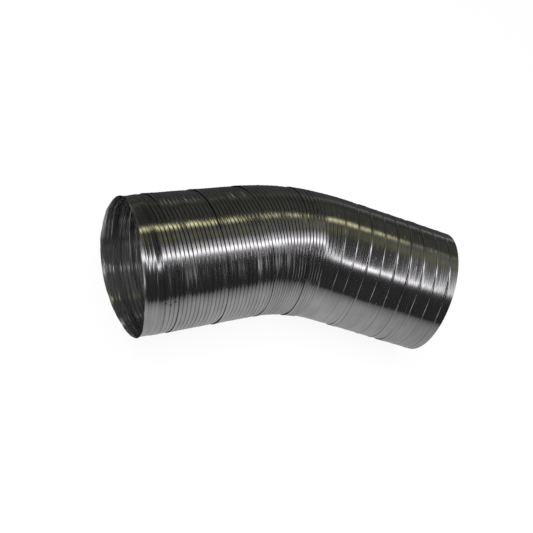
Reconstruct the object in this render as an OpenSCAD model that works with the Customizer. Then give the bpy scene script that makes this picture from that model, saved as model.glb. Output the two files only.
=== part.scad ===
/* [Bore and wall] */
// Bore of the cuff and of every shell (mm)
bore_d = 128; // [100:1:160]
// Thickness of the strip as modelled (mm)
wall = 0.4; // [0.3:0.05:0.5]

/* [Length] */
// Plain cuff at the mouth, without its neck (mm)
cuff_len = 14.4; // [12:0.2:30]
// Lead of one turn where the ribs are pushed together (mm)
ribbed_lead = 11.6; // [10.6:0.2:14]
// Lead of one turn where the duct is drawn out smooth (mm)
smooth_lead = 14; // [12:0.2:18]
// Turns with ribs, after the cuff
ribbed_turns = 15; // [12:1:20]
// Turns drawn out smooth, the cut end included
smooth_turns = 10; // [4:1:16]

/* [Ribs] */
// Ribs on one turn of the strip
ribs_per_turn = 3; // [2:1:3]
// Radius of a rib's round section (mm)
rib_r = 0.95; // [0.8:0.05:1]
// Plain edge between a turn's end and its outermost rib (mm)
rib_edge = 0.25; // [0.2:0.05:0.3]
// Radius of the folded lock seam's bead on a smooth turn (mm)
seam_r = 0.7; // [0.5:0.05:0.9]
// Radius of the turned-out bead round the mouth's rim (mm)
rim_r = 0.9; // [0.6:0.05:1]

/* [Seam] */
// Neck that shows between two turns, the room in which a seam folds (mm)
neck = 3.1; // [3:0.1:3.6]
// Length of the neck's lip under the next turn (mm)
lap = 4; // [3.6:0.1:4.6]
// The same where the next turn is bent, because its inner side is short (mm)
bend_lap = 3.2; // [2.4:0.1:3.4]
// Radial clearance between a lip and the turn round it (mm)
lap_gap = 0.75; // [0.7:0.05:1]

/* [Bend] */
// Angle of the bend to the right, seen from the mouth (degrees)
bend_angle = 30; // [10:1:34]
// First ribbed turn in the bend
bend_from = 10; // [6:1:10]
// Smooth turns in the bend
bend_smooth = 2; // [1:1:3]

/* [Hidden] */
$fn = 96;
shell_r = bore_d / 2;
outer_r = shell_r + wall;
mid_r = shell_r + wall / 2;
lip_outer_r = shell_r - lap_gap;
lip_r = lip_outer_r - wall;
half_space = 4 * outer_r;
past = 1;
rim_gap = 0.15;
aluminium = [0.75, 0.76, 0.78];
turns = ribbed_turns + smooth_turns;

// Turns count from 0, the cuff. Each shell is followed by its neck.
function is_ribbed(k) = k >= 1 && k <= ribbed_turns;
function start(k) = k == 0 ? 0
    : cuff_len + neck + min(k - 1, ribbed_turns) * ribbed_lead
      + max(k - 1 - ribbed_turns, 0) * smooth_lead;
function shell_end(k) = k == turns ? start(turns + 1) : start(k + 1) - neck;

bend_start = start(bend_from);
bend_stop = start(ribbed_turns + bend_smooth + 1);
bend_r = (bend_stop - bend_start) / (bend_angle * PI / 180);

// The duct's centreline: straight, an arc in the horizontal plane, straight.
function turned(s) = bend_angle * min(max((s - bend_start) / (bend_stop - bend_start), 0), 1);
function path_x(s) = min(s, bend_start) + bend_r * sin(turned(s)) + max(s - bend_stop, 0) * cos(bend_angle);
function path_y(s) = -bend_r * (1 - cos(turned(s))) - max(s - bend_stop, 0) * sin(bend_angle);
function is_bent(k) = shell_end(k) > bend_start && start(k) < bend_stop;
function lip_end(k) = shell_end(k) + neck + (is_bent(k + 1) ? bend_lap : lap);

// Each turn's ribs fan out with the bend, evenly from its first edge to its last.
rib_margin = rib_r + rib_edge;
function rib_at(k, i) = start(k) + rib_margin
    + i * (shell_end(k) - start(k) - 2 * rib_margin) / (ribs_per_turn - 1);
function rib_places(k) = is_ribbed(k) ? [for (i = [0 : ribs_per_turn - 1]) rib_at(k, i)] : [];

function two_digits(n) = str(n < 10 ? "0" : "", n);
ribbed_names = [for (i = [1 : ribbed_turns]) str("ribbed_turn_", two_digits(i))];
smooth_names = [for (i = [1 : smooth_turns - 1]) str("smooth_turn_", two_digits(i))];

// Stands its children, made along +Z, on the centreline at s.
module on_path(s) {
    translate([path_x(s), path_y(s), 0]) rotate([0, 90, -turned(s)]) children();
}

module ring(r, section_r) {
    rotate_extrude() translate([r, 0]) circle(r = section_r);
}

// A straight drum between two places on the centreline, long enough to be mitred.
module drum(from, to, r, spare) {
    on_path((from + to) / 2) translate([0, 0, (from - to) / 2 - spare])
        cylinder(r = r, h = to - from + 2 * spare);
}

module behind(s) {
    on_path(s) translate([-half_space / 2, -half_space / 2, -half_space])
        cube(half_space);
}

module ahead(s) {
    on_path(s) translate([-half_space / 2, -half_space / 2, 0]) cube(half_space);
}

// The thin wall of one turn, with its hollow ribs or its solid seam or rim bead.
module shell(k) {
    from = start(k);
    to = shell_end(k);
    spare = is_bent(k) ? to - from : 0;
    difference() {
        union() {
            drum(from, to, outer_r, spare);
            for (s = rib_places(k)) on_path(s) ring(mid_r, rib_r);
            if (k > ribbed_turns) on_path(from + seam_r + rib_edge) ring(mid_r, seam_r);
            if (k == 0) on_path(rim_r + rib_edge) ring(shell_r + rim_gap + rim_r, rim_r);
        }
        drum(from, to, shell_r, spare + past);
        for (s = rib_places(k)) on_path(s) ring(mid_r, rib_r - wall);
        if (is_bent(k)) {
            behind(from);
            ahead(to);
        }
    }
}

// The step inwards at a turn's end, and the lip that runs on under the next turn.
module lip(k) {
    spare = is_bent(k + 1) ? lap : 0;
    length = wall + lip_end(k) - shell_end(k) + spare;
    difference() {
        on_path(shell_end(k)) translate([0, 0, -wall]) {
            cylinder(r = mid_r, h = wall);
            cylinder(r = lip_outer_r, h = length);
        }
        on_path(shell_end(k)) translate([0, 0, -wall - past]) cylinder(r = lip_r, h = length + 2 * past);
        if (is_bent(k + 1)) ahead(lip_end(k));
    }
}

module turn(k) {
    shell(k);
    if (k < turns) lip(k);
}

module mouth_cuff() color(aluminium) turn(0);
module ribbed_turn(i) color(aluminium) turn(i);
module smooth_turn(i) color(aluminium) turn(ribbed_turns + i);
module end_turn() color(aluminium) turn(turns);

mouth_cuff();
for (i = [1 : ribbed_turns])
    ribbed_turn(i);
for (i = [1 : smooth_turns - 1])
    smooth_turn(i);
end_turn();
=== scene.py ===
import math
from functools import partial

import bmesh
import bpy
import numpy as np
from mathutils import Matrix, Vector


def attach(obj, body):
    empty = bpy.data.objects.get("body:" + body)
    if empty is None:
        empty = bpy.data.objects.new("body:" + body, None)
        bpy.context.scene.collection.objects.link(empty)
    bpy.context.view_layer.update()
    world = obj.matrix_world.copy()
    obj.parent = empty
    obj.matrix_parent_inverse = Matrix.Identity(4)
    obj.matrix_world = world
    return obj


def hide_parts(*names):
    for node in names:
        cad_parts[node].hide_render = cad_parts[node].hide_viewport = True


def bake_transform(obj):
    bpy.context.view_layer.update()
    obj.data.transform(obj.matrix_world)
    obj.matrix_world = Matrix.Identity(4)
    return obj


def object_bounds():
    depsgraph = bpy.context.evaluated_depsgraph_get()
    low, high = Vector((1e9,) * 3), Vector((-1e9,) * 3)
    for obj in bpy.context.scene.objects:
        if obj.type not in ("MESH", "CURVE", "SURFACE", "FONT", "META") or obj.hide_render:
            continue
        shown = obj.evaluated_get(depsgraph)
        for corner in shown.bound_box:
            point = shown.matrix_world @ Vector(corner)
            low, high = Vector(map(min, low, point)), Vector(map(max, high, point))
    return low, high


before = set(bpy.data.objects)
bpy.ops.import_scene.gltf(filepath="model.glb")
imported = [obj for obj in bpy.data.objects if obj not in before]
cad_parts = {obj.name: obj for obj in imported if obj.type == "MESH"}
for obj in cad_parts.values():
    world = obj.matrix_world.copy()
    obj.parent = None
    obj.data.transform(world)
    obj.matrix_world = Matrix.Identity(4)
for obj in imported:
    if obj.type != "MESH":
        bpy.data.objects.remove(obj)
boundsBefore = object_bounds()
print("frame loaded:", len(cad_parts), "turns")

# How the duct lies, in metres and degrees, as the solids have it
duct = {
    "cuff": 0.0144,
    "neck": 0.0031,
    "ribbedLead": 0.0116,
    "smoothLead": 0.014,
    "ribbedTurns": 15,
    "smoothTurns": 10,
    "bendStart": 0.1219,
    "bendStop": 0.2195,
    "bendAngle": 30.0,
}
lastTurn = duct["ribbedTurns"] + duct["smoothTurns"]
fullTurn = 2 * math.pi


def turnStart(k):
    if k == 0:
        return 0.0
    ribbed = min(k - 1, duct["ribbedTurns"]) * duct["ribbedLead"]
    smooth = max(k - 1 - duct["ribbedTurns"], 0) * duct["smoothLead"]
    return duct["cuff"] + duct["neck"] + ribbed + smooth


ductLength = turnStart(lastTurn + 1)
starts = np.array([turnStart(k) for k in range(lastTurn + 2)])
bodyNames = (
    ["mouth_cuff"]
    + ["ribbed_turn_%02d" % i for i in range(1, duct["ribbedTurns"] + 1)]
    + ["smooth_turn_%02d" % i for i in range(1, duct["smoothTurns"])]
    + ["end_turn"]
)


def pivotAt(k):
    return turnStart(k + 1) - duct["neck"] / 2


def cutAt(k):
    # halfway between two joints, where nothing bends; an open seam has a line of its own
    if k <= 0:
        return 0.0
    if k >= lastTurn:
        return ductLength
    return (pivotAt(k - 1) + pivotAt(k)) / 2


def centreline(s):
    angle = math.radians(duct["bendAngle"])
    radius = (duct["bendStop"] - duct["bendStart"]) / angle
    a = angle * np.clip((s - duct["bendStart"]) / (duct["bendStop"] - duct["bendStart"]), 0, 1)
    past = np.maximum(s - duct["bendStop"], 0)
    x = np.minimum(s, duct["bendStart"]) + radius * np.sin(a) + past * math.cos(angle)
    y = -radius * (1 - np.cos(a)) - past * math.sin(angle)
    return x, y, a


def pointOn(s):
    x, y, a = centreline(np.array(s))
    return (float(x), float(y), 0.0)


def smoothStep(a, b, x):
    t = np.clip((x - a) / (b - a), 0, 1)
    return t * t * (3 - 2 * t)


def between(amount, x, rising, falling):
    # comes up over the first pair of values of x and goes down over the second
    return amount * smoothStep(*rising, x) * (1 - smoothStep(*falling, x))


def bell(x, width):
    return np.exp(-((x / width) ** 2))


def radians(pair):
    return [math.radians(v) for v in pair]


# The strip as it is wound, and how finely it is modelled
strip = {
    "smoothRadius": 0.0644,
    "ribsPerTurn": 3,
    "shift": 0.0037,  # from the solids' seams to those of the winding
    "thickness": 0.0002,
    "facesRound": 240,
    "faceLength": 0.00022,
    "openingRows": 1.35,  # times as many rows where a piece ends or begins at an open seam
    "endCut": 0.00035,
    "largest": 0.0659,  # just under half the solids' height; nothing stands past it
    "endTuck": (0.0014, 0.005, 0.001),  # how far the cut end is drawn in, from and to which distance from it
}
rng = np.random.default_rng(12)
ribWave = rng.uniform(0, fullTurn, (6, 3))
wallWave = rng.uniform(0, fullTurn, 8)
unevenness = {"often": (1.7, 4.1, 9.3), "next": 0.7}  # radians, and the size of a wave next to the one before


def turnsAt(s):
    return np.interp(s - strip["shift"], starts, np.arange(len(starts)))


def along(waves, where):
    # a slow unevenness that runs on along the strip
    total = 0
    for i, (often, shift) in enumerate(zip(unevenness["often"], waves)):
        total = total + math.pow(unevenness["next"], i) * np.sin(where * often + shift)
    return total / 2


def largestRadius(s, phi):
    inward, begin, end = strip["endTuck"]
    tuck = inward * smoothStep(ductLength - begin, ductLength - end, s)
    return strip["largest"] / np.maximum(np.abs(np.sin(phi)), np.abs(np.cos(phi))) - tuck


# Six seams, counted from 0, are open: the near part of the wall runs on under the far part
sleeve = {
    "seams": (1, 5, 9, 13, 18, 22),
    "level": 0.00015,  # how far each part is off the wall's level at the opening
    "hiddenRise": 1.3,  # how much more on the side where the opening crosses the ribs
    "hiddenFrom": (55, 85),  # degrees from facing
    "reach": 0.012,  # the length over which that fades
    "facing": -35.0,  # degrees, the side on which the opening follows a groove
    "following": 80,  # degrees from there, after which it comes back to where it started
    "past": 0.0010,  # from the joint to the groove that is looked for
    "hold": 0.0005,  # the length next to the opening where the section stays as it is
    "lip": 0.0034,
    "lipDrop": 0.0004,
    "lipRise": 0.0006,
}


def awayFromFacing(phi):
    return np.mod(phi - math.radians(sleeve["facing"]) + math.pi, fullTurn) - math.pi


def openingAt(k, phi):
    # follows one groove of the winding on the side that faces up and to the right, and comes back behind
    facing = math.radians(sleeve["facing"])
    lines = strip["ribsPerTurn"]
    groove = np.round((turnsAt(pivotAt(k) + sleeve["past"]) + facing / fullTurn) * lines) / lines
    away = awayFromFacing(phi)
    follow = facing + away * (1 - smoothStep(math.radians(sleeve["following"]), math.pi, np.abs(away)))
    return np.interp(groove - follow / fullTurn, np.arange(len(starts)), starts) + strip["shift"]


def levelAt(s, phi, near, far):
    hidden = smoothStep(*radians(sleeve["hiddenFrom"]), np.abs(awayFromFacing(phi)))
    step = sleeve["level"] * (1 + sleeve["hiddenRise"] * hidden)
    level = 0
    for k in sleeve["seams"]:
        past = s - openingAt(k, phi)
        if k == near:
            past = np.minimum(past, -1e-9)
        if k == far:
            past = np.maximum(past, 0)
        fade = 1 - smoothStep(0, sleeve["reach"], np.abs(past))
        level = level + step * np.where(past < 0, -1, 1) * fade
    return level


# The mouth: a plain cuff with a few pressed lines and a turned-out, uneven rim. Waves round it are given by
# their size, how many times they go round and their shift in radians.
mouth = {
    "lines": ((0.0058, 0.00010), (0.0092, 0.00007), (0.0124, 0.00016)),  # where and how deep
    "lineWidth": 0.00045,
    "lineRun": 0.0009,  # how far a line goes along the cuff in half a turn
    "flare": 0.0008,
    "flareLength": 0.0036,
    "flareCurve": 1.8,
    "flareWaves": ((0.08, 5, 1.0), (0.05, 13, 0.0)),
    "cut": 2.6,  # mm, how far the rim is cut back on average
    "cutLeast": 0.2,
    "cutUneven": ((0.57, 0.59), (-0.28, 2.55)),  # mm, cosine and sine, once and twice round
    "nicks": ((0.16, 11, 0.7), (0.10, 23, 2.0), (0.05, 41, 0.0)),  # mm
    "swell": ((0.0, -0.8), (0.4, 0.4)),  # mm, the same for how far it is out of round, twice and three times
    "swellFade": 0.07,
}


def wavesRound(rows, phi, start=0):
    return sum((size * np.sin(times * phi + shift) for size, times, shift in rows), start=start)


def rimAt(phi):
    (c1, s1), (c2, s2) = mouth["cutUneven"]
    cut = mouth["cut"] + c1 * np.cos(phi) + s1 * np.sin(phi) + c2 * np.cos(2 * phi) + s2 * np.sin(2 * phi)
    return np.maximum(cut + wavesRound(mouth["nicks"], phi), mouth["cutLeast"]) / 1000


def withMouth(radius, s, phi):
    for at, deep in mouth["lines"]:
        radius = radius - deep * bell(s - at + mouth["lineRun"] * phi / math.pi, mouth["lineWidth"])
    flare = np.clip(1 - (s - rimAt(phi)) / mouth["flareLength"], 0, 1) ** mouth["flareCurve"]
    radius = radius + mouth["flare"] * flare * wavesRound(mouth["flareWaves"], phi, start=1)
    (c2, s2), (c3, s3) = mouth["swell"]
    swell = c2 * np.cos(2 * phi) + s2 * np.sin(2 * phi) + c3 * np.cos(3 * phi) + s3 * np.sin(3 * phi)
    return radius + swell / 1000 * np.exp(-s / mouth["swellFade"])


# The ribs, where the duct is pushed together. Waves and ripples along the strip are given by their size and
# their radians to a turn, and ripples also by their shift from one rib of a turn to the next.
ribbing = {
    "rise": 0.00056,  # how far the crests stand above the smooth wall
    "fall": 0.00030,  # from a rib's near side to its far side
    "fallWave": (0.35, 9.0),
    "fallRipple": (0.35, 23.0, 1.3),
    "return": 0.13,  # of its pitch, half the length in which it rises again
    "groove": 0.00010,
    "grooveWidth": 0.11,  # of its pitch
    "grooveUneven": 0.25,  # of its depth
    "grooveKinds": (1.0, -0.4),  # deeper where a turn begins, shallower at its other grooves
    "grooveWave": 6.1,
    "grooveRipples": ((0.7, 13.0, 2.1), (0.4, 31.0, 1.0)),
    "foldFall": 0.00034,  # added where a few ribs are folded tighter
    "foldEvery": 8.6,  # ribs
    "foldShift": 2.5,
    "foldShare": (0.45, 0.95),  # of a sine over the ribs, where they begin and where they are full
    "foldWave": (0.8, 2.0),
    "foldMean": 0.6,
    "foldRipple": (0.4, 17.0, 2.6),
    "foldFrom": 0.024,  # none nearer the mouth
    "begin": (0.0125, 0.0190),
    "innerSide": ((-36, -58), (150, 175)),  # degrees, where the inside of the bend begins, from both sides
    "innerEnd": (0.1890, 0.1935),
    "outerEnd": ((0.66, 0.180, 0.192), (0.2, 0.190, 0.214), (0.14, 0.210, 0.236)),  # share, from, to
    "left": 0.000006,  # what is left of the ribs on the drawn-out turns
}


def ribStrength(s, phi):
    # ribs begin at the cuff's end; they end sharply inside the bend and fade out slowly over its outer side
    below, above = ribbing["innerSide"]
    inner = np.maximum(smoothStep(*radians(below), phi), smoothStep(*radians(above), phi))
    sharp = 1 - smoothStep(*ribbing["innerEnd"], s)
    slow = 1
    for share, begin, end in ribbing["outerEnd"]:
        slow = slow - share * smoothStep(begin, end, s)
    return smoothStep(*ribbing["begin"], s) * (inner * sharp + (1 - inner) * slow)


def ribShape(turns, s, phi):
    # no two ribs are quite alike, and each changes a little on its way round
    perTurn = strip["ribsPerTurn"]
    rib = np.round(turns * perTurn)
    kind = np.mod(rib, perTurn)
    run = rib / perTurn - phi / fullTurn

    def ripple(size, often, shift):
        return size * np.sin(run * often + kind * shift)

    uneven = along(ribWave[0], run * ribbing["grooveWave"])
    for row in ribbing["grooveRipples"]:
        uneven = uneven + ripple(*row)
    size, often = ribbing["foldWave"]
    pattern = fullTurn * (rib + ribbing["foldShift"]) / ribbing["foldEvery"]
    folded = np.sin(pattern + size * along(ribWave[3], run * often))
    folded = smoothStep(*ribbing["foldShare"], folded)
    folded = ribbing["foldFall"] * folded * (ribbing["foldMean"] + ripple(*ribbing["foldRipple"]))
    size, often = ribbing["fallWave"]
    fall = ribbing["fall"] * (1 + size * along(ribWave[2], run * often) + ripple(*ribbing["fallRipple"]))
    fall = fall + folded * (s > ribbing["foldFrom"])
    c = turns * perTurn - rib
    saw = smoothStep(-ribbing["return"], ribbing["return"], c) - 0.5 - c
    share = ribbing["grooveUneven"]
    deep = ribbing["groove"] * (1 + share * np.where(kind == 0, *ribbing["grooveKinds"]) + share * uneven)
    return ribbing["rise"] + fall * saw - deep * bell(c, ribbing["grooveWidth"])


# The lock seams on the drawn-out turns, and the faint line halfway between two of them
lockSeam = {
    "from": (0.192, 0.202),  # where the strip is drawn out smooth
    "besideRibs": 0.8,  # how much of that full ribs take away
    "height": 0.00026,
    "width": (0.00032, 0.00062),  # on its near and on its far side
    "ditch": (0.2, 0.0007),  # of its height, and how far before it
    "loud": (0.35, 0.5, 0.55, 1.0, 0.5, 1.15, 1.3, 0.85, 0.8, 0.9, 0.9),  # drawn-out turns, one by one
    "loudWave": (0.25, 5.0),
    "halfLine": 0.00002,
    "halfWidth": 0.0006,
}


def drawnOut(s, phi, strength):
    # how smooth the strip is drawn, and how much its nearest seam stands out
    nearest = np.round(turnsAt(s) + phi / fullTurn)
    loud = np.array(lockSeam["loud"])
    which = np.clip(nearest - duct["ribbedTurns"] - 1, 0, len(loud) - 1).astype(int)
    size, often = lockSeam["loudWave"]
    change = 1 + size * along(ribWave[1], (nearest - phi / fullTurn) * often)
    return smoothStep(*lockSeam["from"], s) * (1 - lockSeam["besideRibs"] * strength), loud[which] * change


def seamShape(turns, s):
    lead = np.where(s > starts[duct["ribbedTurns"] + 1], duct["smoothLead"], duct["ribbedLead"])
    d = (turns - np.round(turns)) * lead
    half = (turns - np.floor(turns) - 0.5) * lead
    rising, falling = lockSeam["width"]
    deep, before = lockSeam["ditch"]
    bead = bell(d, np.where(d < 0, rising, falling)) - deep * bell(d + before, rising)
    return lockSeam["height"] * bead + lockSeam["halfLine"] * bell(half, lockSeam["halfWidth"])


# Handling has left the wall a little out of round
handling = {
    "waves": ((0.00009, 2, 9), (0.00005, 3, -31), (0.00003, 5, 70), (0.00002, 9, -120)),  # size, times, slant
    "onRibs": 0.6,  # how much of it the ribs hold back
}


def slackAt(s, phi):
    rows = zip(handling["waves"], wallWave)
    return sum(size * np.sin(times * phi + slant * s + shift) for (size, times, slant), shift in rows)


def wallRadius(s, phi, near=None, far=None):
    # near and far name the open seam that this length of wall ends or begins at
    held = s
    if near is not None:
        held = np.minimum(s, openingAt(near, phi) - sleeve["hold"])
    if far is not None:
        held = np.maximum(s, openingAt(far, phi) + (sleeve["hold"] if far <= duct["ribbedTurns"] else 0))
    turns = turnsAt(held) + phi / fullTurn
    strength = ribStrength(s, phi)
    smooth, loud = drawnOut(s, phi, strength)
    radius = strip["smoothRadius"] + strength * ribShape(turns, s, phi)
    radius = radius + smooth * loud * seamShape(turns, s)
    radius = radius + smooth * ribbing["left"] * np.cos(fullTurn * strip["ribsPerTurn"] * turns)
    radius = radius + levelAt(s, phi, near, far)
    if near is not None:
        onLip = smoothStep(0, sleeve["lipRise"], s - openingAt(near, phi))
        radius = radius + onLip * (strip["smoothRadius"] - sleeve["lipDrop"] - radius)
    radius = withMouth(radius, s, phi)
    radius = radius + slackAt(s, phi) * (1 - handling["onRibs"] * strength)
    return np.minimum(radius, largestRadius(s, phi))


def wallPoints(s, phi, near=None, far=None):
    x, y, a = centreline(s)
    r = wallRadius(s, phi, near, far)
    side = r * np.sin(phi)  # towards the left of the duct's heading
    return np.stack([x + side * np.sin(a), y + side * np.cos(a), r * np.cos(phi)], -1)


def wallNormals(s, phi, near, far):
    ds, dp = 4e-5, 2e-4
    alongDuct = wallPoints(s + ds, phi, near, far) - wallPoints(s - ds, phi, near, far)
    roundDuct = wallPoints(s, phi + dp, near, far) - wallPoints(s, phi - dp, near, far)
    n = np.cross(roundDuct, alongDuct)
    n /= np.linalg.norm(n, axis=-1, keepdims=True)
    x, y, a = centreline(s)
    out = np.stack([np.sin(phi) * np.sin(a), np.sin(phi) * np.cos(a), np.cos(phi)], -1)
    return n * np.sign((n * out).sum(-1, keepdims=True))


def readAll(items, name, width=1, kind=np.float64):
    values = np.empty(len(items) * width, kind)
    items.foreach_get(name, values)
    return values.reshape(-1, width) if width > 1 else values


def vectorAttribute(mesh, name, values):
    layer = mesh.attributes.get(name) or mesh.attributes.new(name, "FLOAT_VECTOR", "POINT")
    layer.data.foreach_set("vector", values.astype(np.float32).ravel())


def rolledWall(name, k, sFrom, sTo):
    # a flat length of strip is rolled up, closed along its edge and given its thickness
    near = k if k in sleeve["seams"] else None
    far = k - 1 if k - 1 in sleeve["seams"] else None
    rows = max(int(math.ceil((sTo - sFrom) / strip["faceLength"])), 4)
    if near is not None or far is not None:
        rows = int(rows * strip["openingRows"])
    bm = bmesh.new()
    bmesh.ops.create_grid(bm, x_segments=rows, y_segments=strip["facesRound"], size=0.5)
    mesh = bpy.data.meshes.new(name)
    bm.to_mesh(mesh)
    flat = readAll(mesh.vertices, "co", 3)
    phi = flat[:, 1] * fullTurn
    begin = rimAt(phi) if sFrom == 0 else sFrom
    begin = begin if far is None else openingAt(far, phi)
    end = sTo if near is None else openingAt(near, phi) + sleeve["lip"]
    s = begin + (flat[:, 0] + 0.5) * (end - begin)
    corner = readAll(mesh.loops, "vertex_index", kind=np.int64)
    onStrip = np.stack([flat[corner, 1] + 0.5, turnsAt(s)[corner]], -1)
    mesh.uv_layers.new(name="strip").data.foreach_set("uv", onStrip.astype(np.float32).ravel())
    mesh.vertices.foreach_set("co", wallPoints(s, phi, near, far).ravel())
    vectorAttribute(mesh, "unrolled", np.stack([s, phi, np.zeros_like(s)], -1))
    bm.clear()
    bm.from_mesh(mesh)
    bmesh.ops.remove_doubles(bm, verts=bm.verts, dist=1e-6)
    bmesh.ops.recalc_face_normals(bm, faces=bm.faces)
    bm.faces.ensure_lookup_table()
    middle = Vector(pointOn((sFrom + sTo) / 2))
    if bm.faces[0].normal.dot(bm.faces[0].calc_center_median() - middle) < 0:
        bmesh.ops.reverse_faces(bm, faces=bm.faces)
    bmesh.ops.solidify(bm, geom=bm.faces[:], thickness=strip["thickness"])
    bm.to_mesh(mesh)
    bm.free()
    finishWall(mesh, near, far)
    piece = bpy.data.objects.new(name, mesh)
    bpy.context.scene.collection.objects.link(piece)
    return piece


def finishWall(mesh, near, far):
    # what the look reads from the wall, and normals from the formula instead of from its faces
    unrolled = readAll(mesh.attributes["unrolled"].data, "vector", 3, np.float32).astype(float)
    s, phi = unrolled[:, 0], unrolled[:, 1]
    normals = wallNormals(s, phi, near, far)
    offWall = readAll(mesh.vertices, "co", 3) - wallPoints(s, phi, near, far)
    inside = (offWall * normals).sum(-1) < -strip["thickness"] / 2
    normals[inside] *= -1
    strength = ribStrength(s, phi)
    smooth, loud = drawnOut(s, phi, strength)
    vectorAttribute(mesh, "unrolled", np.stack([np.cos(phi), np.sin(phi), s], -1))
    vectorAttribute(mesh, "pressed", np.stack([strength, smooth * loud, inside * 1.0], -1))
    corner = readAll(mesh.loops, "vertex_index", kind=np.int64)
    faceSize = readAll(mesh.polygons, "loop_total", kind=np.int64)
    ofFace = np.repeat(np.arange(len(faceSize)), faceSize)
    share = np.bincount(ofFace, weights=inside[corner].astype(float)) / faceSize
    # the faces across the strip's cut edges stay flat
    onEdge = ((share > 0.01) & (share < 0.99))[ofFace]
    cornerNormals = normals[corner]
    cornerNormals[onEdge] = readAll(mesh.polygons, "normal", 3)[ofFace][onEdge]
    mesh.polygons.foreach_set("use_smooth", np.ones(len(mesh.polygons), bool))
    mesh.normals_split_custom_set(cornerNormals.tolist())
    mesh.update()


def link(tree, a, b):
    tree.links.new(a, b)


def mathNode(tree, operation, a, b=0.0, c=None):
    node = tree.nodes.new("ShaderNodeMath")
    node.operation = operation
    for socket, value in zip(node.inputs, (a, b, c)):
        if isinstance(value, (int, float)):
            socket.default_value = value
        elif value is not None:
            link(tree, value, socket)
    return node.outputs[0]


def rampNode(tree, value, low, high, a, b):
    node = tree.nodes.new("ShaderNodeMapRange")
    link(tree, value, node.inputs["Value"])
    node.inputs["From Min"].default_value = low
    node.inputs["From Max"].default_value = high
    node.inputs["To Min"].default_value = a
    node.inputs["To Max"].default_value = b
    return node.outputs[0]


def distanceNode(tree, place):
    # from a place on the object, in its own coordinates
    where = tree.nodes.new("ShaderNodeTexCoord")
    away = tree.nodes.new("ShaderNodeVectorMath")
    away.operation = "DISTANCE"
    link(tree, where.outputs["Object"], away.inputs[0])
    away.inputs[1].default_value = place
    return away.outputs["Value"]


def newMaterial(name):
    material = bpy.data.materials.new(name)
    material.use_nodes = True
    material.node_tree.nodes.clear()
    return material, material.node_tree


# Bright rolled strip, fine lines along it, painted shade darkening the grooves and one side of each seam
foil = {
    "colour": (0.80, 0.80, 0.81, 1),
    "dull": (0.60, 0.60, 0.61, 1),
    "dullFrom": (0.45, 0.78),
    "stainShare": 0.6,
    # the colour of the painted shade in the grooves and beside the seams
    "shadeColour": (0.26, 0.25, 0.24, 1),
    "shadeShare": (0.45, 0.9),  # how dark the painted groove shade is, from the lightest patch to the darkest
    "grooveShade": (0.06, 0.16),  # of a rib's pitch, where the painted shade is full and where it ends
    "seamShade": (0.014, 0.03),  # of a turn
    "seamShadeShare": 0.8,
    "seamSide": -0.045,  # of a turn, from a seam to the painted shade beside it
    "roughness": 0.15,
    "patchRoughness": 0.04,
    "lineRoughness": 0.05,
    "anisotropic": 0.6,
    "anisotropicTurn": 0.25,
    # noises: how fine across, across and along the duct, detail and roughness
    "fineLines": ((3.5, 3.5, 800), 2, 0.6),
    "broadLines": ((2.0, 2.0, 300), 1, 0.5),
    "patches": ((2.2, 2.2, 30), 3, 0.55),
    "patchRange": (0.3, 0.7),
    "bands": ((1.2, 1.2, 210), 2, 0.6),
    "lines": 0.000025,  # height of the fine lines
    "broadShare": 2.2,
    # what the inner face has more of
    "inside": {"dull": 0.02, "roughness": 0.04, "anisotropic": 0.3, "lines": 4.0},
    "dents": ((0.0189, -65.8), (0.0235, -67.9), (0.0278, -65.5)),  # along the duct, and degrees round it
    "dentRadius": 0.0008,
    "dentEdge": (0.5, 1.3),  # of its radius
    "dentDepth": -8.0,  # in heights of the fine lines
    # near black painted into the dents as painted shade
    "dentShade": (0.03, 0.03, 0.03, 1),
}


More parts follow.
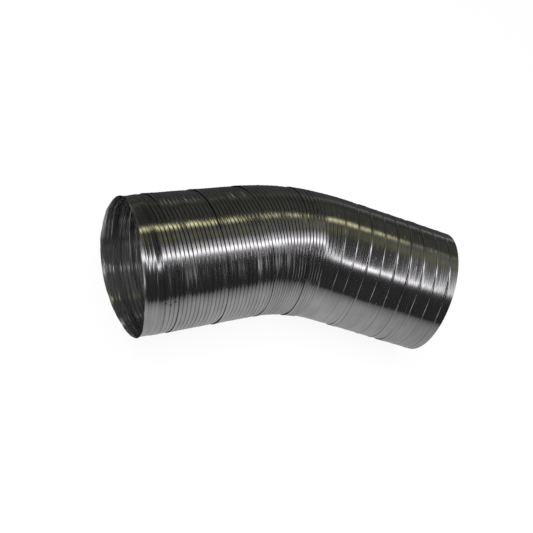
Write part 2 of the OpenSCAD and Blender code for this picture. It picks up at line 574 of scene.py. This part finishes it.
def foilMaterial():
    material, tree = newMaterial("rolledAluminium")
    new = tree.nodes.new
    calc, ramp = partial(mathNode, tree), partial(rampNode, tree)
    out = new("ShaderNodeOutputMaterial")
    shader = new("ShaderNodeBsdfPrincipled")
    link(tree, shader.outputs[0], out.inputs["Surface"])
    shader.inputs["Anisotropic Rotation"].default_value = foil["anisotropicTurn"]
    tangent = new("ShaderNodeTangent")
    tangent.direction_type = "UV_MAP"
    tangent.uv_map = "strip"
    link(tree, tangent.outputs[0], shader.inputs["Tangent"])
    place = new("ShaderNodeAttribute")
    place.attribute_name = "unrolled"
    pressed = new("ShaderNodeAttribute")
    pressed.attribute_name = "pressed"
    split = new("ShaderNodeSeparateXYZ")
    link(tree, pressed.outputs["Vector"], split.inputs[0])
    ribbed, seamed, inside = (split.outputs[axis] for axis in "XYZ")
    rolled = new("ShaderNodeUVMap")
    rolled.uv_map = "strip"
    onStrip = new("ShaderNodeSeparateXYZ")
    link(tree, rolled.outputs[0], onStrip.inputs[0])

    def noise(stretch, detail, rough):
        mapping = new("ShaderNodeMapping")
        mapping.inputs["Scale"].default_value = stretch
        link(tree, place.outputs["Vector"], mapping.inputs["Vector"])
        node = new("ShaderNodeTexNoise")
        node.inputs["Scale"].default_value = 1.0
        node.inputs["Detail"].default_value = detail
        node.inputs["Roughness"].default_value = rough
        link(tree, mapping.outputs[0], node.inputs["Vector"])
        return node.outputs["Fac"]

    def mixColour(factor, a, b):
        node = new("ShaderNodeMix")
        node.data_type = "RGBA"
        link(tree, factor, node.inputs[0])
        for socket, value in ((node.inputs[6], a), (node.inputs[7], b)):
            if isinstance(value, tuple):
                socket.default_value = value
            else:
                link(tree, value, socket)
        return node.outputs[2]

    fineLines, broadLines, patches, bands = (
        noise(*foil[name]) for name in ("fineLines", "broadLines", "patches", "bands")
    )
    # dents near the mouth, pressed in by the bump and painted near black inside as painted shade
    nearest = None
    for s, degrees in foil["dents"]:
        away = distanceNode(tree, tuple(wallPoints(np.array(s), np.array(math.radians(degrees)))))
        nearest = away if nearest is None else calc("MINIMUM", nearest, away)
    full, none = foil["dentEdge"]
    dent = ramp(nearest, full * foil["dentRadius"], none * foil["dentRadius"], 1.0, 0.0)
    # stained bands
    stains = calc("MULTIPLY_ADD", bands, foil["stainShare"], calc("MULTIPLY", patches, foil["stainShare"]))
    clean = mixColour(ramp(stains, *foil["dullFrom"], 0.0, 1.0), foil["colour"], foil["dull"])
    # painted shade: darker in the grooves and along one side of each seam
    turns = calc("SUBTRACT", calc("ADD", onStrip.outputs["X"], onStrip.outputs["Y"]), 0.5)
    ribs = calc("FRACT", calc("MULTIPLY", turns, float(strip["ribsPerTurn"])))
    toGroove = calc("SUBTRACT", 0.5, calc("ABSOLUTE", calc("SUBTRACT", ribs, 0.5)))
    inGroove = calc("MULTIPLY", ramp(toGroove, *foil["grooveShade"], 1.0, 0.0), ribbed)
    paintedShade = calc("MULTIPLY", inGroove, ramp(patches, *foil["patchRange"], *foil["shadeShare"]))
    side = calc("FRACT", calc("ADD", turns, 0.5 - foil["seamSide"]))
    toSeam = calc("ABSOLUTE", calc("SUBTRACT", side, 0.5))
    bySeam = calc("MULTIPLY", ramp(toSeam, *foil["seamShade"], 1.0, 0.0), seamed)
    paintedShade = calc("MINIMUM", calc("ADD", paintedShade, calc("MULTIPLY", bySeam, foil["seamShadeShare"])), 1.0)
    shadedColour = mixColour(paintedShade, clean, foil["shadeColour"])
    link(tree, mixColour(dent, shadedColour, foil["dentShade"]), shader.inputs["Base Color"])
    # the inside is duller
    more = foil["inside"]
    link(tree, calc("MULTIPLY_ADD", inside, -more["dull"], 1.0), shader.inputs["Metallic"])
    brushed = calc("MULTIPLY_ADD", inside, more["anisotropic"], foil["anisotropic"])
    link(tree, brushed, shader.inputs["Anisotropic"])
    smoothest = foil["roughness"] - foil["patchRoughness"]
    level = ramp(patches, *foil["patchRange"], smoothest, foil["roughness"])
    level = calc("MULTIPLY_ADD", inside, more["roughness"], level)
    link(tree, calc("MULTIPLY_ADD", fineLines, foil["lineRoughness"], level), shader.inputs["Roughness"])
    # fine lines and broader ones, higher on the ribs and inside
    height = calc("MULTIPLY_ADD", broadLines, foil["broadShare"], fineLines)
    height = calc("MULTIPLY", height, calc("MULTIPLY_ADD", inside, more["lines"], calc("ADD", ribbed, 1.0)))
    height = calc("MULTIPLY_ADD", dent, foil["dentDepth"], height)
    bump = new("ShaderNodeBump")
    bump.inputs["Strength"].default_value = 1.0
    bump.inputs["Distance"].default_value = foil["lines"]
    link(tree, height, bump.inputs["Height"])
    link(tree, bump.outputs[0], shader.inputs["Normal"])
    return material


foilLook = foilMaterial()
print("aluminium ready")


def buildWall():
    for k in range(lastTurn):
        sFrom, sTo = cutAt(k), cutAt(k + 1) - (strip["endCut"] if k == lastTurn - 1 else 0)
        piece = rolledWall("wall_" + bodyNames[k], k, sFrom, sTo)
        piece.data.materials.append(foilLook)
        if k in sleeve["seams"]:
            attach(piece, bodyNames[k])
        else:
            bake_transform(piece)
        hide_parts(*bodyNames[k:k + 1] if k < lastTurn - 1 else bodyNames[k:k + 2])
    print("wall rolled:", lastTurn, "pieces")


buildWall()

# The set: a pale floor, and a dark room with a long light for the metal to show
room = {
    "floorLevel": boundsBefore[0].z,
    "floorSize": 5,
    "floorColour": (0.92, 0.92, 0.92, 1),
    "floorGlow": 0.92,  # its share of what the camera sees
    "floorCentre": (0.12, -0.10, -0.066),
    "floorNear": 0.36,  # how bright the metal sees its painted glow at the centre
    "floorFade": 0.40,  # the distance at which half of that is left
    "fadePower": 1.6,
    "floorEdge": -1.0,
    "edgeBlur": 0.12,
    "floorPast": 0.02,  # past its front edge
    "floorBehind": 0.05,
    "behindFrom": (-0.02, 0.12),
    "worldLight": 0.45,  # the world's strength where it is neither seen nor mirrored
    "radius": 12.0,
    "dark": 0.024,
    "lightsFrom": (8, 24),  # degrees over the horizon
}


def mixValue(tree, factor, a, b):
    node = tree.nodes.new("ShaderNodeMix")
    node.data_type = "FLOAT"
    link(tree, factor, node.inputs[0])
    link(tree, a, node.inputs[2])
    node.inputs[3].default_value = b
    return node.outputs[0]


def floorMaterial():
    # the camera sees it white; the metal sees a painted glow on it, a pool of light that fades with distance,
    # and a dark room past its front edge
    material, tree = newMaterial("paleFloor")
    new = tree.nodes.new
    calc, ramp = partial(mathNode, tree), partial(rampNode, tree)
    out = new("ShaderNodeOutputMaterial")
    lit = new("ShaderNodeBsdfDiffuse")
    lit.inputs["Color"].default_value = room["floorColour"]
    glow = new("ShaderNodeEmission")
    path = new("ShaderNodeLightPath")
    where = new("ShaderNodeTexCoord")
    split = new("ShaderNodeSeparateXYZ")
    link(tree, where.outputs["Object"], split.inputs[0])
    # painted pool of light: the glow the metal sees falls off with distance from this centre
    away = distanceNode(tree, room["floorCentre"])
    fade = calc("POWER", calc("DIVIDE", away, room["floorFade"]), room["fadePower"])
    near = calc("DIVIDE", room["floorNear"], calc("ADD", fade, 1.0))
    edge, blur = room["floorEdge"], room["edgeBlur"]
    onTable = ramp(split.outputs["Y"], edge - blur, edge + blur, 0.0, 1.0)
    front = calc("MULTIPLY_ADD", near, onTable, room["floorPast"])
    behind = ramp(split.outputs["Y"], *room["behindFrom"], 0.0, 1.0)
    level = mixValue(tree, behind, front, room["floorBehind"])
    link(tree, mixValue(tree, path.outputs["Is Camera Ray"], level, 1.0), glow.inputs["Strength"])
    inMetal = calc("MAXIMUM", path.outputs["Is Glossy Ray"], path.outputs["Is Transmission Ray"])
    share = calc("MULTIPLY_ADD", path.outputs["Is Camera Ray"], room["floorGlow"], inMetal)
    mix = new("ShaderNodeMixShader")
    link(tree, share, mix.inputs[0])
    link(tree, lit.outputs[0], mix.inputs[1])
    link(tree, glow.outputs[0], mix.inputs[2])
    link(tree, mix.outputs[0], out.inputs["Surface"])
    return material


def stageObject(name, bm, material):
    mesh = bpy.data.meshes.new(name)
    bm.to_mesh(mesh)
    bm.free()
    mesh.materials.append(material)
    thing = bpy.data.objects.new(name, mesh)
    bpy.context.scene.collection.objects.link(thing)
    return thing


def makeFloor():
    bm = bmesh.new()
    bmesh.ops.create_grid(bm, x_segments=4, y_segments=4, size=room["floorSize"])
    bmesh.ops.translate(bm, verts=bm.verts, vec=(0, 0, room["floorLevel"]))
    floor = stageObject("floor", bm, floorMaterial())


# The lights as the metal sees them. u and v are x / z and y / z of a direction, and a pair in u or v is where
# a light comes up or goes down.
longTube = {
    "run": (
        (-1.4, -0.60), (-0.25, -0.56), (-0.03, -0.88), (0.16, -0.89),
        (0.38, -0.63), (0.53, -0.46), (3.0, -0.46),
    ),
    "rounding": (-0.05, 0.0, 0.05),
    "ends": ((-1.3, -0.6), (2.4, 3.4)),
    "parts": ((1.4, 0.085), (0.26, 0.17), (0.015, 0.45)),  # core and soft edges: strength, half width in rad
    "leftWidth": 0.66,
    "rightWider": 0.34,
    "widerFrom": (0.2, 0.42),
    "above": (0.34, 0.17, 0.11),  # its glow on what is over it: strength, how far and half width
    "aboveEnds": ((0.42, 0.56), (1.0, 1.4)),
    "colour": (1.0, 0.975, 1.0),
}
lampShade = {
    "strength": 0.85,
    "width": 0.075,
    "run": ((-1.0, 0.42), (0.36, 0.40), (0.43, 0.42), (0.52, 0.44), (0.62, 0.42), (0.9, 0.46)),
    "begin": (-1.0, -0.3),
    "dip": (0.6, (-0.2, 0.2), (0.2, 0.36)),  # how much dimmer it is, and where
    "swell": (0.78, 0.62, (0.40, 0.54)),  # its level before, what is added and where
    "end": (0.66, 0.90),
    "colour": (1.0, 0.97, 0.55),
}
ceiling = {
    "strength": 0.065,
    "across": ((-0.75, -0.35), (0.28, 0.42)),
    "steps": ((0.2, (0.38, 0.5)), (0.8, (0.56, 0.72))),
    "end": (1.0, 1.4),
    "colour": (1.0, 1.0, 1.0),
}
olive = {"strength": 0.075, "at": (0.56, 0.05), "width": (0.20, 0.17), "colour": (1.0, 1.0, 0.36)}
farCeiling = {
    "strength": 0.024,
    "begin": (0.45, 0.9),
    "across": ((0.3, 0.7), (1.6, 3.0)),
    "colour": (1.0, 1.0, 0.72),
}
streak = {
    "strength": 0.14,
    "at": 1.35,
    "width": 0.25,
    "across": ((-1.2, -0.8), (0.05, 0.35)),
    "colour": (1.0, 1.0, 1.0),
}
# these two in degrees of elevation and azimuth
horizon = {
    "strength": 0.045,
    "elevation": 11.0,
    "height": 5.0,
    "ends": ((35, 60), (110, 150)),
    "colour": (1.0, 1.0, 0.66),
}
windows = (  # strength, azimuth, elevation, half width and half height
    (0.9, 105.0, 18.0, 7.0, 7.0),
    (0.7, -20.0, 12.0, 12.0, 16.0),
    (0.5, -36.0, 15.0, 6.0, 8.0),
    (0.6, -140.0, 12.0, 16.0, 16.0),
    (0.24, 30.0, -2.0, 17.0, 8.0),
)


def tubeGlow(u, v):
    runU, runV = np.array(longTube["run"]).T
    centre = sum(np.interp(u + shift, runU, runV) for shift in longTube["rounding"]) / 3
    off = np.arctan(v) - np.arctan(centre)
    wide = longTube["leftWidth"] + longTube["rightWider"] * smoothStep(*longTube["widerFrom"], u)
    tube = sum(strength * bell(off, width * wide) for strength, width in longTube["parts"])
    strength, over, width = longTube["above"]
    tube = tube + between(strength * bell(off - over, width), u, *longTube["aboveEnds"])
    return between(1, u, *longTube["ends"]) * tube


def shadeGlow(u, v):
    runU, runV = np.array(lampShade["run"]).T
    shade = lampShade["strength"] * bell(v - np.interp(u, runU, runV), lampShade["width"])
    dim, *where = lampShade["dip"]
    shade = shade * smoothStep(*lampShade["begin"], u) * (1 - between(dim, u, *where))
    before, added, where = lampShade["swell"]
    return shade * (before + added * smoothStep(*where, u)) * (1 - smoothStep(*lampShade["end"], u))


def ceilingGlow(u, v):
    steps = sum(share * smoothStep(*where, u) for share, where in ceiling["steps"])
    lit = between(1, v, *ceiling["across"]) * steps
    return ceiling["strength"] * lit * (1 - smoothStep(*ceiling["end"], u))


def oliveGlow(u, v):
    (atU, atV), (wide, high) = olive["at"], olive["width"]
    return olive["strength"] * bell(u - atU, wide) * bell(v - atV, high)


def farCeilingGlow(u, v):
    return between(farCeiling["strength"] * smoothStep(*farCeiling["begin"], u), v, *farCeiling["across"])


def streakGlow(u, v):
    return between(streak["strength"] * bell(u - streak["at"], streak["width"]), v, *streak["across"])


def glowAt(d):
    x, y, z = d[:, 0], d[:, 1], d[:, 2]
    up = np.maximum(z, 0.03)  # keeps u and v finite down to the horizon
    u, v = x / up, y / up
    elevation = np.degrees(np.arcsin(np.clip(z, -1, 1)))
    azimuth = np.degrees(np.arctan2(y, x))
    above = smoothStep(*room["lightsFrom"], elevation)[:, None]
    glow = np.full((len(d), 3), room["dark"])
    for part, light in (
        (ceilingGlow, ceiling),
        (oliveGlow, olive),
        (tubeGlow, longTube),
        (shadeGlow, lampShade),
        (farCeilingGlow, farCeiling),
        (streakGlow, streak),
    ):
        glow = glow + above * part(u, v)[:, None] * np.array(light["colour"])
    low = horizon["strength"] * bell(elevation - horizon["elevation"], horizon["height"])
    low = between(low, azimuth, *horizon["ends"])
    glow = glow + low[:, None] * np.array(horizon["colour"])
    for strength, side, at, width, height in windows:
        glow = glow + (strength * bell(elevation - at, height) * bell(azimuth - side, width))[:, None]
    return glow


def roomMaterial():
    material, tree = newMaterial("darkRoom")
    out = tree.nodes.new("ShaderNodeOutputMaterial")
    emission = tree.nodes.new("ShaderNodeEmission")
    painted = tree.nodes.new("ShaderNodeAttribute")
    painted.attribute_name = "glow"
    link(tree, painted.outputs["Color"], emission.inputs["Color"])
    link(tree, emission.outputs[0], out.inputs["Surface"])
    material.cycles.emission_sampling = "NONE"
    return material


def makeRoom():
    # dark cloth and lights round the set, seen only in the metal
    bm = bmesh.new()
    bmesh.ops.create_uvsphere(bm, u_segments=360, v_segments=180, radius=room["radius"])
    cloth = stageObject("room", bm, roomMaterial())
    d = readAll(cloth.data.vertices, "co", 3) / room["radius"]
    colours = np.concatenate([glowAt(d), np.ones((len(d), 1))], -1)
    layer = cloth.data.attributes.new("glow", "FLOAT_COLOR", "POINT")
    layer.data.foreach_set("color", colours.astype(np.float32).ravel())
    cloth.visible_camera = False
    cloth.visible_diffuse = False
    cloth.visible_shadow = False
    cloth.visible_transmission = False


def makeWorld():
    # full for the camera and in the metal, dimmer as a light
    world = bpy.data.worlds.new("studio")
    bpy.context.scene.world = world
    world.use_nodes = True
    tree = world.node_tree
    tree.nodes.clear()
    out = tree.nodes.new("ShaderNodeOutputWorld")
    background = tree.nodes.new("ShaderNodeBackground")
    path = tree.nodes.new("ShaderNodeLightPath")
    seen = mathNode(tree, "MAXIMUM", path.outputs["Is Camera Ray"], path.outputs["Is Glossy Ray"])
    seen = mathNode(tree, "MAXIMUM", seen, path.outputs["Is Transmission Ray"])
    level = rampNode(tree, seen, 0.0, 1.0, room["worldLight"], 1.0)
    link(tree, level, background.inputs["Strength"])
    link(tree, background.outputs[0], out.inputs["Surface"])


lamp = {"place": (-0.4, -0.6, 2.8), "size": 2.6, "watts": 105.0}


def makeLamp():
    data = bpy.data.lights.new("softOverhead", "AREA")
    data.shape = "SQUARE"
    data.size = lamp["size"]
    data.energy = lamp["watts"]
    overhead = bpy.data.objects.new("softOverhead", data)
    bpy.context.scene.collection.objects.link(overhead)
    overhead.matrix_world = Matrix.Translation(lamp["place"])
    overhead.visible_camera = False
    overhead.visible_glossy = False


eye = {
    "place": (-0.15421, -0.31194, 0.46708),
    "forward": (0.47378, 0.46514, -0.74778),
    "up": (0.12889, 0.80336, 0.58138),
    "lens": 42.70,
    "sensor": 36,
}


def makeCamera():
    data = bpy.data.cameras.new("camera")
    data.sensor_width = eye["sensor"]
    data.lens = eye["lens"]
    data.clip_start = 0.01
    camera = bpy.data.objects.new("camera", data)
    bpy.context.scene.collection.objects.link(camera)
    back = -Vector(eye["forward"]).normalized()
    up = Vector(eye["up"])
    right = up.cross(back).normalized()
    up = back.cross(right)
    turn = Matrix((right, up, back)).transposed().to_4x4()
    camera.matrix_world = Matrix.Translation(eye["place"]) @ turn
    bpy.context.scene.camera = camera


makeFloor()
makeRoom()
makeWorld()
makeLamp()
makeCamera()
bpy.context.scene.view_settings.view_transform = "Standard"
print("set ready")
